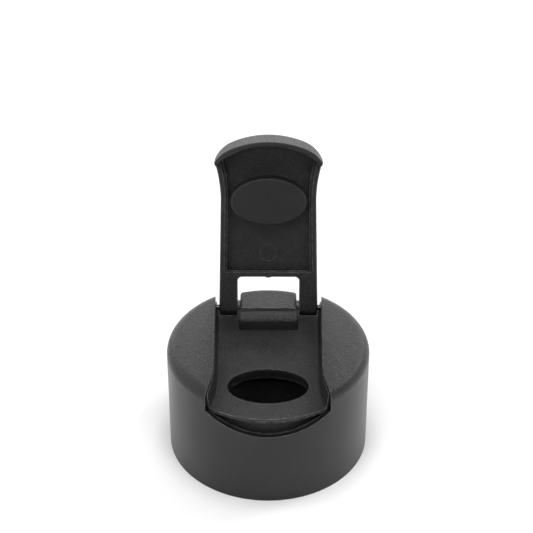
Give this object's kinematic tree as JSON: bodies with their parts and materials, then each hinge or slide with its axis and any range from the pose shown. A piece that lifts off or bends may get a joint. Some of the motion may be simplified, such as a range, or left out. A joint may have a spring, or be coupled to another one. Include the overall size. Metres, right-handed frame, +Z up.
{
  "type": "flip top cap",
  "caption": "Round screw-on drinking cap for a wide-mouth bottle, with a channel across its top, an oval drinking hole and a flip lid that carries a stopper.",
  "frame": {"origin": "centre of the open rim that the cap stands on, on the screw axis", "axes": "+Z up along the screw axis, towards the drinking hole; -Y is the drinking side; +Y the hinge side; +X to the right of someone facing the drinking side's back, along the hinge pin"},
  "size_m": [0.066, 0.0784, 0.0939],
  "materials": {
    "shell_plastic": "fine spark texture, satin",
    "inner_plastic": "plain moulded, satin",
    "lid_plastic": "plain moulded, satin",
    "silicone": "soft matt",
    "pin_steel": "ground"
  },
  "bodies": {
    "cap": {"outer_shell": "shell_plastic", "spout_insert": "inner_plastic", "neck_gasket": "silicone", "hinge_pin": "pin_steel"},
    "lid": {"flip_lid": "lid_plastic", "spout_plug": "silicone"}
  },
  "joints": [
    {"name": "lid_hinge", "type": "hinge", "parent": "cap", "child": "lid", "pos_m": [0, 0.023, 0.0362], "axis": [-1, 0, 0], "range_deg": [-110, 65]}
  ]
}
